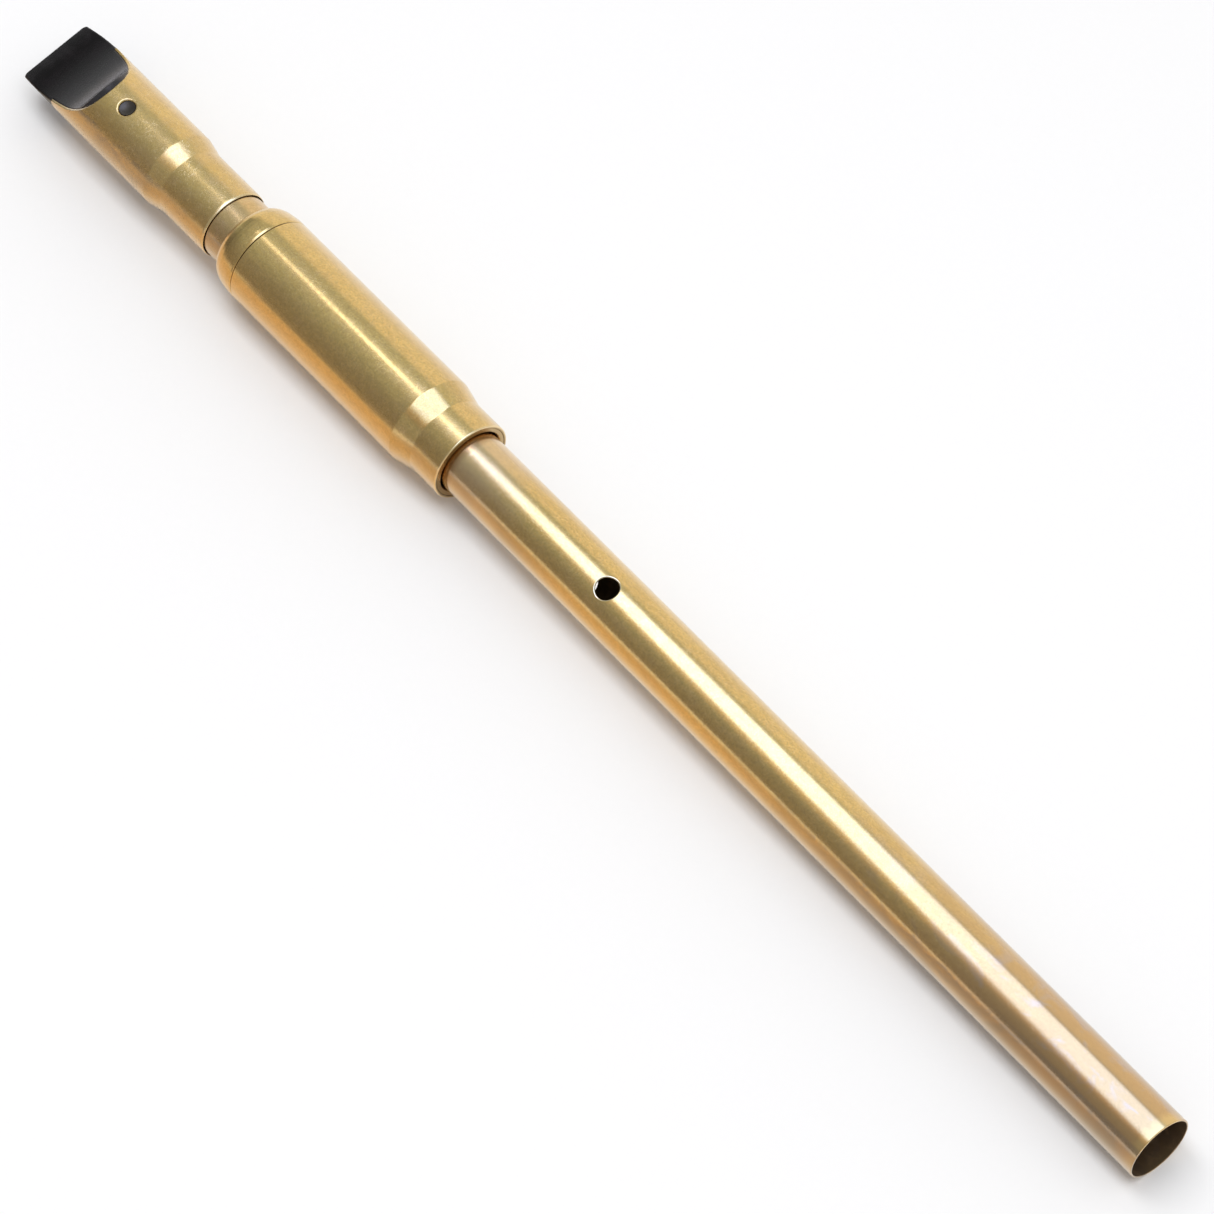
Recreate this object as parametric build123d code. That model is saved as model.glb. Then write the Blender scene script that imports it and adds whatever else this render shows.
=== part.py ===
from build123d import *
import math
import os

# Tin whistle with a tunable head, all sizes in millimetres.
# The axis is X: the open foot is at x = 0 and the mouth tip at negative x.
# +Z is the thumb-hole side, -Z the side of the window and finger holes.

# ---- telescoping brass tubes: outer radius and bore radius ----
BODY_R, BODY_BORE = 6.35, 5.99
SLIDE_R, SLIDE_BORE = 6.747, 6.387     # runs over the body tube
RUNNING_BORE = 6.79                    # bore of parts that run over the slide tube
SKIRT_R = 7.19                         # narrow skirt of the head casing
HEAD_R, HEAD_BORE = 8.00, 7.59         # casing round the plug
BARREL_R = 9.12
BARREL_BORE = BARREL_R - 0.45
BARREL_SKIRT_R = 8.105
BARREL_SKIRT_BORE = BARREL_SKIRT_R - 0.50
SEAT_GAP = 0.01                        # gap round seated parts

# ---- stations along the axis ----
FOOT, BODY_TOP = 0.0, -232.0
BARREL_END, BARREL_CONE_SMALL, BARREL_CONE_LARGE = -179.02, -186.05, -190.66
JOINT = -236.80                        # line between barrel shell and cap ring
CAP_LIP = -242.80
SLIDE_TOP, SLIDE_LOW = -258.9, -183.6
HEAD_END, HEAD_CONE_SMALL, HEAD_CONE_LARGE = -247.72, -260.45, -264.40
CASING_END = -292.80                   # square end of the casing under the beak
PLUG_END = -274.06                     # inner end of the plug, start of the window
TIP = -303.25

# ---- holes ----
FINGER_HOLES = [                       # (x, diameter)
    (-149.95, 6.1), (-129.5, 7.0), (-108.0, 6.4),
    (-82.5, 6.0), (-62.0, 7.4), (-41.5, 6.4),
]
THUMB_X, THUMB_D = -139.6, 4.4
DRILL_REACH = 9.0                      # drills run this far from the axis

# ---- bush and seal ring ----
BUSH_LOW, BUSH_TOP = BARREL_END - 0.05, -185.6
BUSH_MOUTH_R = 6.62
BUSH_STEP = -183.4                     # the bore widens here for the slide tube
GROOVE_LOW, GROOVE_TOP, GROOVE_R = -180.55, -181.75, 7.34
SEAL_SECTION_R = 0.475

# ---- blade, window and windway ----
BLADE, BLADE_END = -268.90, -264.6     # edge and far end of the blade
BLADE_Z = -5.80
BLADE_EDGE = 0.10                      # thickness of the blade's edge
BLADE_WIDTH = 10.8
RELIEF_X, RELIEF_Z = -266.9, -5.25     # where the relief under the blade levels out
WINDOW_INNER_Z, CUT_Z = -3.0, -9.5     # cutters end at CUT_Z, outside the casing
RAMP_TAN = math.tan(math.radians(22.0))
RAMP_END = BLADE + (BLADE_Z - CUT_Z) / RAMP_TAN
WINDWAY_WIDTH, WINDWAY_ROOF = 9.2, -6.30
WINDWAY_FLOOR_TIP, WINDWAY_FLOOR_WINDOW = -5.00, -5.30

# ---- plug, beak and pin ----
PLUG_R, BEAK_R = HEAD_BORE - SEAT_GAP, 7.96
NECK_HALF = 0.5                        # overlap that joins plug and beak
OUTLINE_TIP, OUTLINE_WIDE = 7.86, 8.6  # half widths of the plan outline
TIP_CORNER_R = 1.5
BEAK_EASE = 0.38
PIN_X, PIN_D, PIN_HOLE_D = -276.84, 2.96, 3.2
PIN_POCKET_D, PIN_POCKET_Z = PIN_D + 0.02, 2.6
PIN_FOOT, PIN_HEAD = PIN_POCKET_Z + 0.05, 7.72
DISH_R, DISH_DEPTH = 3.6, 0.3

# Scoop of the beak (x, z), from the tip to past the crest
SCOOP = [
    (-303.60, -1.97), (-300.0, -0.86), (-296.6, 0.28), (-293.4, 1.30),
    (-290.4, 2.28), (-288.2, 3.10), (-286.4, 4.06), (-285.2, 4.98),
    (-284.3, 6.15), (-283.45, 7.75), (-282.9, 8.90),
]
# Sloping cut of the casing's edge (x, z)
CASING_CUT = [
    (-293.4, 1.30), (-290.4, 2.28), (-288.2, 3.10),
    (-286.7, 3.86), (-285.2, 4.82), (-283.9, 5.84),
    (-282.7, 6.98), (-281.75, 8.10), (-281.2, 8.85),
]
# Dome of the cap ring (x, radius), from the lip to the full barrel radius
CAP_LIP_CORNER = (CAP_LIP, 7.66)
CAP_DOME = [
    CAP_LIP_CORNER, (-242.52, 8.02), (-241.76, 8.48), (-240.7, 8.80),
    (-239.66, 8.99), (-238.59, 9.09), (-238.0, BARREL_R),
]


def turned(points, rounds=()):
    """Solid turned about X from (x, r) points; rounds = ((x, r) corner, fillet radius)."""
    face = make_face(Polyline(*points, close=True))
    for (x, r), radius in rounds:
        corner = min(face.vertices(), key=lambda v: (v.X - x) ** 2 + (v.Y - r) ** 2)
        face = fillet(corner, radius)
    return revolve(face, Axis.X, 360)


def tube(x0, x1, outer, bore, ease):
    """Tube along X with all four rims eased."""
    rims = [(x0, outer), (x1, outer), (x0, bore), (x1, bore)]
    profile = [(x0, bore), (x1, bore), (x1, outer), (x0, outer)]
    return turned(profile, [(rim, ease) for rim in rims])


def rod(x0, x1, r0, r1):
    """Solid rod along X, radius r0 at x0 and r1 at x1."""
    return turned([(x0, 0), (x0, r0), (x1, r1), (x1, 0)])


def drill(x, diameter, z0, z1):
    """Radial cutter along Z from z0 up to z1."""
    return Pos(x, 0, (z0 + z1) / 2) * Cylinder(diameter / 2, z1 - z0)


def prism(points, width):
    """(x, z) polygon as a prism of this width, centred on y = 0."""
    face = make_face(Polyline(*[(x, 0, z) for x, z in points], close=True))
    return extrude(face, width / 2, dir=(0, 1, 0), both=True)


def above(profile, top=12.0, half_width=12.0, overrun=2.0):
    """Slab across Y of everything above a smooth curve through (x, z) points."""
    curve = Spline(*[(x, 0, z) for x, z in profile])
    x0, z0 = profile[0]
    x1, z1 = profile[-1]
    back = x0 - overrun
    rest = Polyline((x1, 0, z1), (x1, 0, top), (back, 0, top), (back, 0, z0), (x0, 0, z0))
    face = make_face(Wire([curve.edge(), *rest.edges()]))
    return extrude(face, half_width, dir=(0, 1, 0), both=True)


def body_tube():
    body = tube(BODY_TOP, FOOT, BODY_R, BODY_BORE, 0.12)
    for x, diameter in FINGER_HOLES:
        body -= drill(x, diameter, -DRILL_REACH, 0)
    return body - drill(THUMB_X, THUMB_D, 0, DRILL_REACH)


def barrel_shell():
    shift = 0.2  # the inner cone sits this far toward the tip
    rim = (JOINT, BARREL_R)
    cone_large = (BARREL_CONE_LARGE, BARREL_R)
    cone_small = (BARREL_CONE_SMALL, BARREL_SKIRT_R)
    end = (BARREL_END, BARREL_SKIRT_R)
    return turned(
        [(JOINT, BARREL_BORE), rim, cone_large, cone_small, end,
         (BARREL_END, BARREL_SKIRT_BORE),
         (BARREL_CONE_SMALL - shift, BARREL_SKIRT_BORE),
         (BARREL_CONE_LARGE - shift, BARREL_BORE)],
        [(rim, 0.10), (cone_large, 1.6), (cone_small, 1.6), (end, 0.30)])


def barrel_cap_ring():
    """Domed ring that closes the barrel round the slide tube, with a spigot in the shell."""
    shoulder = JOINT - 0.04
    spigot_end = JOINT + 5.0
    spigot_r = BARREL_BORE - 0.02
    return turned(
        [(CAP_LIP, RUNNING_BORE), *CAP_DOME, (shoulder, BARREL_R), (shoulder, spigot_r),
         (spigot_end, spigot_r), (spigot_end, RUNNING_BORE)],
        [((shoulder, BARREL_R), 0.30), (CAP_LIP_CORNER, 0.15)])


def barrel_end_bush():
    """Bush in the barrel skirt, grooved inside for the seal ring."""
    seat_r = BARREL_SKIRT_BORE - SEAT_GAP
    mouth = (BUSH_LOW, BUSH_MOUTH_R)
    return turned(
        [(BUSH_LOW, seat_r), mouth,
         (GROOVE_LOW, BUSH_MOUTH_R), (GROOVE_LOW, GROOVE_R),
         (GROOVE_TOP, GROOVE_R), (GROOVE_TOP, BUSH_MOUTH_R),
         (BUSH_STEP, BUSH_MOUTH_R), (BUSH_STEP, RUNNING_BORE),
         (BUSH_TOP, RUNNING_BORE), (BUSH_TOP, seat_r)],
        [(mouth, 0.14)])


def body_seal_ring():
    """Round-section ring that grips the body tube."""
    ring_r = GROOVE_R - SEAT_GAP - SEAL_SECTION_R
    ring = Rot(0, 90, 0) * Torus(ring_r, SEAL_SECTION_R)
    return Pos((GROOVE_LOW + GROOVE_TOP) / 2, 0, 0) * ring


def slide_tube():
    return tube(SLIDE_TOP, SLIDE_LOW, SLIDE_R, SLIDE_BORE, 0.10)


def head_casing():
    shift = 0.1  # the inner cone sits this far toward the tip
    cone_large = (HEAD_CONE_LARGE, HEAD_R)
    cone_small = (HEAD_CONE_SMALL, SKIRT_R)
    end = (HEAD_END, SKIRT_R)
    casing = turned(
        [(CASING_END, HEAD_BORE), (CASING_END, HEAD_R), cone_large, cone_small, end,
         (HEAD_END, RUNNING_BORE), (HEAD_CONE_SMALL - shift, RUNNING_BORE),
         (HEAD_CONE_LARGE - shift, HEAD_BORE)],
        [(cone_large, 1.5), (cone_small, 1.5), (end, 0.26)])
    casing -= above(CASING_CUT)
    casing -= drill(PIN_X, PIN_HOLE_D, 0, DRILL_REACH)
    window = [(PLUG_END, WINDOW_INNER_Z), (BLADE, WINDOW_INNER_Z), (BLADE, BLADE_Z),
              (RAMP_END, CUT_Z), (PLUG_END, CUT_Z)]
    return casing - prism(window, WINDWAY_WIDTH)


def window_blade():
    """Blade inside the casing beside the window: flat ramp outside, relieved inside."""
    blade = rod(BLADE, BLADE_END, HEAD_BORE - SEAT_GAP, HEAD_BORE - SEAT_GAP)
    blade &= prism(
        [(BLADE, BLADE_Z), (BLADE, BLADE_Z + BLADE_EDGE), (RELIEF_X, RELIEF_Z),
         (BLADE_END, RELIEF_Z), (BLADE_END, CUT_Z), (BLADE, CUT_Z)], BLADE_WIDTH)
    ramp = [(BLADE - 1, BLADE_Z + RAMP_TAN), (BLADE, BLADE_Z), (RAMP_END, CUT_Z),
            (BLADE - 1, CUT_Z)]
    return blade - prism(ramp, WINDWAY_WIDTH)


def mouthpiece_plug():
    plug = rod(CASING_END + 0.02, PLUG_END, PLUG_R, PLUG_R)
    beak = rod(TIP, CASING_END - 0.01, BEAK_R - 0.10, BEAK_R)
    neck = rod(CASING_END - NECK_HALF, CASING_END + NECK_HALF, PLUG_R, PLUG_R)

    # Plan outline with rounded corners at the tip
    wide_x, end_x = CASING_END + 1, PLUG_END + 1
    outline = make_face(Polyline(
        (TIP, -OUTLINE_TIP), (wide_x, -OUTLINE_WIDE), (end_x, -OUTLINE_WIDE),
        (end_x, OUTLINE_WIDE), (wide_x, OUTLINE_WIDE), (TIP, OUTLINE_TIP), close=True))
    outline = fillet([v for v in outline.vertices() if v.X < TIP + 0.1], TIP_CORNER_R)
    piece = (plug + beak + neck) & extrude(outline, 12, both=True)
    piece -= above(SCOOP)

    # Ease the beak's edges, but not those of the step at the casing end
    eased = [e for e in piece.edges()
             if e.center().X < -281 and abs(e.center().X - CASING_END) > 0.6]
    piece = fillet(eased, BEAK_EASE)

    piece -= prism(
        [(TIP - 1, WINDWAY_FLOOR_TIP), (TIP - 1, WINDWAY_ROOF),
         (end_x, WINDWAY_ROOF), (end_x, WINDWAY_FLOOR_WINDOW)], WINDWAY_WIDTH)
    return piece - drill(PIN_X, PIN_POCKET_D, PIN_POCKET_Z, DRILL_REACH)


def plug_pin():
    """Pin that locks the plug in the casing, dished on its outer end."""
    dish = Pos(PIN_X, 0, PIN_HEAD + DISH_R - DISH_DEPTH) * Sphere(DISH_R)
    return drill(PIN_X, PIN_D, PIN_FOOT, PIN_HEAD) - dish


PARTS = [
    body_tube, barrel_shell, barrel_cap_ring, barrel_end_bush, body_seal_ring,
    slide_tube, head_casing, window_blade, mouthpiece_plug, plug_pin,
]

os.makedirs("parts", exist_ok=True)
for part in PARTS:  # each file is named after its function
    solids = part().solids()
    shape = solids[0] if len(solids) == 1 else Compound(children=list(solids))
    export_step(shape, f"parts/{part.__name__}.step")
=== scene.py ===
# A brass whistle with a black mouthpiece, lying on a pale table under a softbox.
# Its axis is the X axis: the foot is at x = 0 and the mouthpiece points to -X, near x = -0.3.
# The thumb hole, pin hole and casing scoop face +Z; the finger holes and window face -Z.
import math
from collections import namedtuple

import bpy
import numpy as np
from mathutils import Matrix, Vector


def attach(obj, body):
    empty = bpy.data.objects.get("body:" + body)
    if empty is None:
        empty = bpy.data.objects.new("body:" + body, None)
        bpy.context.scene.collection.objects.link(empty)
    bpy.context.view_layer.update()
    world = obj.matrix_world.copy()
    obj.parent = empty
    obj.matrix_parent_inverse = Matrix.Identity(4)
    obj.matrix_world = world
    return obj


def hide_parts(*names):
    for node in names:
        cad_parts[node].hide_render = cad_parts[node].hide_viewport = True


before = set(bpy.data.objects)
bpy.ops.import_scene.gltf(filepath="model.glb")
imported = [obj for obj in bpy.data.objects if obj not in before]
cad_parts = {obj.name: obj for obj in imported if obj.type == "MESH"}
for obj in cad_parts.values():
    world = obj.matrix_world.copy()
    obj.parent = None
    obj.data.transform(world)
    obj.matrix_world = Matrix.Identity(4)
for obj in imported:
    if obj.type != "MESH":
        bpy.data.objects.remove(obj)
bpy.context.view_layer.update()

TO_M = 0.001  # metres per millimetre
SIDES = 160   # columns round a tube

ROOM_UP = Vector((0.0, 0.2198, 0.9756))   # up in the room, square to the whistle's axis
NEAR = Vector((0.0, -0.9756, 0.2198))     # towards the camera's side of the tube

# ------------------------------------------------------------------ sizes, mm
TUBE_WALL = 0.36
BODY_R = 6.35
BODY_BORE = BODY_R - TUBE_WALL
BODY_START = -232.0

SLIDE_R = 6.747
SLIDE_BORE = SLIDE_R - TUBE_WALL
SLIDE_START = -258.9
SLIDE_END = -183.6

BARREL_R = 9.12
BARREL_BORE = BARREL_R - 0.45
BARREL_SKIRT_R = 8.105
BARREL_SKIRT_BORE = BARREL_SKIRT_R - 0.50
BARREL_CONE_LARGE = -190.66
BARREL_CONE_SMALL = -186.05
BARREL_END = -179.02
JOINT = -236.80      # where the cap ring meets the barrel shell
CAP_LIP = -242.80
GROOVE_START = -181.75
GROOVE_END = -180.55
SEAL_R = 0.475       # radius of the seal ring's section
SEAL_CENTRE_R = 6.855

HEAD_R = 8.00
HEAD_BORE = 7.59
SKIRT_R = 7.19
SKIRT_BORE = 6.79
CONE_LARGE = -264.40
CONE_SMALL = -260.45
HEAD_END = -247.72
CASING_START = -292.80
CUT_EASE = 0.09      # rounding along the casing's scooped end

# The window runs from the plug to the blade; past the blade a ramp cuts out through the wall.
PLUG_END = -274.06
BLADE = -268.90
BLADE_Z = -5.80
RAMP_TAN = math.tan(math.radians(22.0))
WINDOW_WIDTH = 9.2
WINDOW_CENTRE = -269.6
PIN_X = -276.84
PIN_HOLE_D = 3.2

# x, diameter, whether it is on the +Z side
HOLES = [
    (-149.95, 6.1, False), (-129.5, 7.0, False), (-108.0, 6.4, False),
    (-82.5, 6.0, False), (-62.0, 7.4, False), (-41.5, 6.4, False),
    (-139.6, 4.4, True),
]

# Scooped end of the casing: x, z
CASING_CUT = [
    (-293.4, 1.30), (-290.4, 2.28), (-288.2, 3.10), (-286.7, 3.86), (-285.2, 4.82),
    (-283.9, 5.84), (-282.7, 6.98), (-281.75, 8.10), (-281.2, 8.85),
]


# ------------------------------------------------------------------ profiles and shells
def rounded(corners, closed=True, arc_steps=6):
    """Turn (x, r, fillet) corners into rows of (x, r, normal x, normal r).

    Normals point out of a closed solid. The two ends of an open profile carry none.
    """
    places = [np.array(corner[:2], float) for corner in corners]
    count = len(places)
    area = 0.5 * sum(p[0] * q[1] - q[0] * p[1] for p, q in zip(places, places[1:] + places[:1]))
    sign = 1.0 if closed and area > 0 else -1.0
    out = []
    for i, corner in enumerate(places):
        if not closed and i in (0, count - 1):
            out.append([*corner, 0.0, 0.0])
            continue
        back = places[i - 1] - corner
        ahead = places[(i + 1) % count] - corner
        back_len, ahead_len = np.linalg.norm(back), np.linalg.norm(ahead)
        back, ahead = back / back_len, ahead / ahead_len
        normal_in = sign * np.array([-back[1], back[0]])
        normal_out = sign * np.array([ahead[1], -ahead[0]])
        half_tan = math.tan(math.acos(float(np.clip(back @ ahead, -1, 1))) / 2)
        trim = min(corners[i][2] / half_tan, 0.48 * back_len, 0.48 * ahead_len)
        radius = trim * half_tan
        first = math.atan2(normal_in[1], normal_in[0])
        last = math.atan2(normal_out[1], normal_out[0])
        turn = (last - first + math.pi) % (2 * math.pi) - math.pi
        bulge = 1.0 if normal_in @ ahead < 0 else -1.0
        centre = corner + back * trim - bulge * radius * normal_in
        density = arc_steps * (1 if radius < 1 else 2)
        steps = max(2, int(math.ceil(abs(turn) / math.radians(90) * density)))
        for step in range(steps + 1):
            angle = first + turn * step / steps
            normal = np.array([math.cos(angle), math.sin(angle)])
            out.append([*(centre + bulge * radius * normal), *normal])
    return np.array(out)


# Column 0 lies at +Z, and the columns turn towards +Y.
AROUND = 2 * np.pi * np.arange(SIDES) / SIDES
SIN, COS = np.sin(AROUND), np.cos(AROUND)


def ring_row(x, radius, normal_x, normal_r):
    """Points and normals of one row round the axis; the arguments may vary by column."""
    points = np.stack([np.broadcast_to(x, SIDES), radius * SIN, radius * COS], 1)
    normals = np.stack([np.broadcast_to(normal_x, SIDES), normal_r * SIN, normal_r * COS], 1)
    return points, normals


class Shell:
    """A closed sleeve made of rows of SIDES points, with openings cut through its wall."""

    def __init__(self):
        self.points, self.normals, self.faces = [], [], []
        self.rows = []     # first vertex of each row
        self.gaps = set()  # (row, column) cells left open
        self.size = 0

    def add(self, points, normals):
        first = self.size
        self.points.append(points)
        self.normals.append(normals)
        self.size += len(points)
        return first

    def row(self, points, normals):
        self.rows.append(self.add(points, normals))
        return len(self.rows) - 1

    def stitch(self, loop_a, loop_b):
        for i in range(len(loop_a)):
            j = (i + 1) % len(loop_a)
            self.faces.append([loop_a[i], loop_a[j], loop_b[j], loop_b[i]])

    def skin(self):
        for i, here in enumerate(self.rows):
            there = self.rows[(i + 1) % len(self.rows)]
            for j in range(SIDES):
                k = (j + 1) % SIDES
                if (i, j) not in self.gaps:
                    self.faces.append([here + j, here + k, there + k, there + j])

    def finish(self, node, body, material):
        """Skin the rows and build the object that replaces a CAD node."""
        self.skin()
        points, normals = np.concatenate(self.points), np.concatenate(self.normals)
        for face in self.faces:
            a, b, c, d = points[face]
            if np.cross(c - a, d - b) @ normals[face].mean(0) < 0:
                face.reverse()
        mesh = bpy.data.meshes.new(node + "_skin")
        mesh.from_pydata((points * TO_M).tolist(), [], self.faces)
        mesh.validate()
        mesh.shade_smooth()
        normals = normals / np.maximum(np.linalg.norm(normals, axis=1, keepdims=True), 1e-9)
        mesh.normals_split_custom_set_from_vertices(normals.tolist())
        ob = bpy.data.objects.new(node + "_skin", mesh)
        bpy.context.scene.collection.objects.link(ob)
        mesh.materials.append(material)
        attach(ob, body)
        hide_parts(node)


def lathe(node, profile, body, material):
    """Turn a closed profile of (x, radius, fillet) corners about the X axis."""
    shell = Shell()
    for point in rounded(profile):
        shell.row(*ring_row(*point))
    shell.finish(node, body, material)


# ------------------------------------------------------------------ openings
# One face of a wall at an opening: its shell rows in +x order, reach(angle) giving the
# distance from the centre and the side wall's normal, radius_at(x), and the edge's fillet.
Face = namedtuple("Face", "rows reach radius_at fillet")


def on_surface(x, y, radius_at, side):
    """Points and unit normals of a turned surface, on its +Z (side 1) or -Z (side -1) half."""
    radius = radius_at(x)
    z = side * np.sqrt(np.maximum(radius * radius - y * y, 1e-6))
    delta = 0.02
    slope = (radius_at(x + delta) - radius_at(x - delta)) / (2 * delta)
    normals = np.stack([-slope, y / radius, z / radius], 1)
    normals /= np.linalg.norm(normals, axis=1, keepdims=True)
    return np.stack([x, y, z], 1), normals


def cut_opening(shell, outer, inner, x_centre, top, half_angle, corners=()):
    """Leave a gap in both faces and fill it with rings running in through the opening."""
    side = 1.0 if top else -1.0
    middle = 0 if top else SIDES // 2
    half = math.ceil(half_angle / (2 * math.pi / SIDES))
    columns = [(middle - half + i) % SIDES for i in range(2 * half + 1)]
    for rows in (outer.rows, inner.rows):
        for row, following in zip(rows, rows[1:]):
            shell.gaps.update((min(row, following), j) for j in columns[:-1])

    def border(rows):
        path = [(rows[0], j) for j in columns]
        path += [(row, columns[-1]) for row in rows[1:]]
        path += [(rows[-1], j) for j in reversed(columns[:-1])]
        path += [(row, columns[0]) for row in reversed(rows[1:-1])]
        return [shell.rows[row] + j for row, j in path]

    points = np.concatenate(shell.points)
    loop_out, loop_in = border(outer.rows), border(inner.rows)
    rim_out, rim_in = points[loop_out], points[loop_in]

    angles = np.arctan2(rim_out[:, 0] - x_centre, rim_out[:, 1])
    for corner in corners:
        gap = np.abs((angles - corner + np.pi) % (2 * np.pi) - np.pi)
        angles[int(np.argmin(gap))] = corner
    hits = [outer.reach(angle) for angle in angles]
    reach_out = np.array([hit[0] for hit in hits])
    wall = np.array([hit[1] for hit in hits])
    reach_in = np.array([inner.reach(angle)[0] for angle in angles])

    def edge(reach, radius_at):
        x = x_centre + reach * np.sin(angles)
        return on_surface(x, reach * np.cos(angles), radius_at, side)

    # from the border to the outer edge, across the outer face
    edge_out = edge(reach_out + outer.fillet, outer.radius_at)
    rings = []
    for share in (0.34, 0.68):
        between = rim_out * (1 - share) + edge_out[0] * share
        rings.append(on_surface(between[:, 0], between[:, 1], outer.radius_at, side))
    rings.append(edge_out)
    # both rounded edges, with the straight side wall between them
    arc_steps = 4
    for face, reach, facing, steps in ((outer, reach_out, 1, range(1, arc_steps + 1)),
                                       (inner, reach_in, -1, range(arc_steps, 0, -1))):
        for step in steps:
            angle = math.pi / 2 * step / arc_steps
            place, normal = edge(reach + face.fillet * (1 - math.sin(angle)), face.radius_at)
            normal = normal * facing
            rings.append((place - normal * (face.fillet * (1 - math.cos(angle))),
                          normal * math.cos(angle) + wall * math.sin(angle)))
    # back across the inner face
    place, normal = edge(reach_in + inner.fillet, inner.radius_at)
    rings.append((place, -normal))
    between = rim_in * 0.5 + place * 0.5
    place, _ = on_surface(between[:, 0], between[:, 1], inner.radius_at, side)
    rings.append((place, place * (0, -1, -1)))

    previous = loop_out
    for place, normal in rings:
        first = shell.add(place, normal)
        current = list(range(first, first + len(place)))
        shell.stitch(previous, current)
        previous = current
    shell.stitch(previous, loop_in)


def round_reach(diameter):
    return lambda angle: (diameter / 2, (-math.sin(angle), -math.cos(angle), 0.0))


# ------------------------------------------------------------------ node helpers
def rgba(colour):
    """A grey level or an RGB tuple as RGBA; sockets pass through."""
    if isinstance(colour, (int, float)):
        return (colour, colour, colour, 1)
    return (*colour, 1) if isinstance(colour, tuple) else colour


def shade(level, tint):
    return tuple(level * part for part in tint)


class Net:
    """Builds a node tree. Inputs take sockets or plain values."""

    def __init__(self, tree):
        self.tree = tree
        tree.nodes.clear()

    def node(self, kind, **settings):
        node = self.tree.nodes.new("ShaderNode" + kind)
        for key, value in settings.items():
            setattr(node, key, value)
        return node

    def put(self, socket, value):
        if isinstance(value, bpy.types.NodeSocket):
            self.tree.links.new(value, socket)
        else:
            socket.default_value = value

    def coords(self, kind="Object"):
        return self.node("TexCoord").outputs[kind]

    def xyz(self, vector):
        node = self.node("SeparateXYZ")
        self.put(node.inputs[0], vector)
        return node.outputs

    def math(self, operation, a, b=0.0, clamp=False):
        node = self.node("Math", operation=operation, use_clamp=clamp)
        self.put(node.inputs[0], a)
        self.put(node.inputs[1], b)
        return node.outputs[0]

    def plus(self, a, b, clamp=False):
        return self.math("ADD", a, b, clamp)

    def minus(self, a, b):
        return self.math("SUBTRACT", a, b)

    def times(self, a, b):
        return self.math("MULTIPLY", a, b)

    def wobble(self, value, noise, amount):
        """Add a noise, centred on zero and scaled by amount."""
        return self.plus(value, self.times(self.minus(noise, 0.5), amount))

    def measure(self, operation, a, b):
        """A vector operation that gives one number."""
        node = self.node("VectorMath", operation=operation)
        self.put(node.inputs[0], a)
        self.put(node.inputs[1], b)
        return node.outputs["Value"]

    def dot(self, a, b):
        return self.measure("DOT_PRODUCT", a, b)

    def ramp(self, factor, stops):
        """Linear colour ramp; stops are (position, colour or grey level)."""
        node = self.node("ValToRGB")
        elements = node.color_ramp.elements
        while len(elements) > 1:
            elements.remove(elements[-1])
        elements[0].position = stops[0][0]
        elements[0].color = rgba(stops[0][1])
        for position, colour in stops[1:]:
            elements.new(position).color = rgba(colour)
        self.put(node.inputs[0], factor)
        return node.outputs[0]

    def fade(self, value, start, end, low=0.0, high=1.0):
        """Smooth step from low at start to high at end; start may exceed end."""
        node = self.node("MapRange", interpolation_type="SMOOTHSTEP")
        self.put(node.inputs[0], value)
        for k, level in enumerate((start, end, low, high), 1):
            node.inputs[k].default_value = level
        return node.outputs[0]

    def mapped(self, vector, scale=(1, 1, 1), turn=(0, 0, 0), shift=(0, 0, 0)):
        node = self.node("Mapping")
        self.put(node.inputs["Vector"], vector)
        node.inputs["Scale"].default_value = scale
        node.inputs["Rotation"].default_value = turn
        node.inputs["Location"].default_value = shift
        return node.outputs[0]

    def noise(self, vector, scale, detail=2.0, rough=0.5, warp=0.0, stretch=None):
        if stretch:
            vector = self.mapped(vector, scale=stretch)
        node = self.node("TexNoise")
        self.put(node.inputs["Vector"], vector)
        node.inputs["Scale"].default_value = scale
        node.inputs["Detail"].default_value = detail
        node.inputs["Roughness"].default_value = rough
        node.inputs["Distortion"].default_value = warp
        return node.outputs["Fac"]

    def mix(self, factor, base, top, blend="MIX"):
        node = self.node("Mix", data_type="RGBA", blend_type=blend)
        self.put(node.inputs["Factor"], factor)
        self.put(node.inputs[6], rgba(base))  # colour A
        self.put(node.inputs[7], rgba(top))   # colour B
        return node.outputs[2]

    def layer(self, base, mask, amount, colour):
        """Lay a colour over base where the mask is, at the given strength."""
        return self.mix(self.times(mask, amount), base, colour)

    def bump(self, shader, height, strength, distance):
        node = self.node("Bump")
        node.inputs["Strength"].default_value = strength
        node.inputs["Distance"].default_value = distance
        self.put(node.inputs["Height"], height)
        self.put(shader.inputs["Normal"], node.outputs[0])

    def mix_shaders(self, factor, a, b):
        node = self.node("MixShader")
        for k, source in enumerate((factor, a.outputs[0], b.outputs[0])):
            self.put(node.inputs[k], source)
        return node

    def output(self, shader, kind="Material"):
        self.put(self.node("Output" + kind).inputs[0], shader.outputs[0])


def new_material(name):
    material = bpy.data.materials.new(name)
    material.use_nodes = True
    return material, Net(material.node_tree)


def shader_material(name, kind="BsdfPrincipled"):
    """A material whose one shader is joined to its output."""
    material, net = new_material(name)
    shader = net.node(kind)
    net.output(shader)
    return material, net, shader


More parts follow.
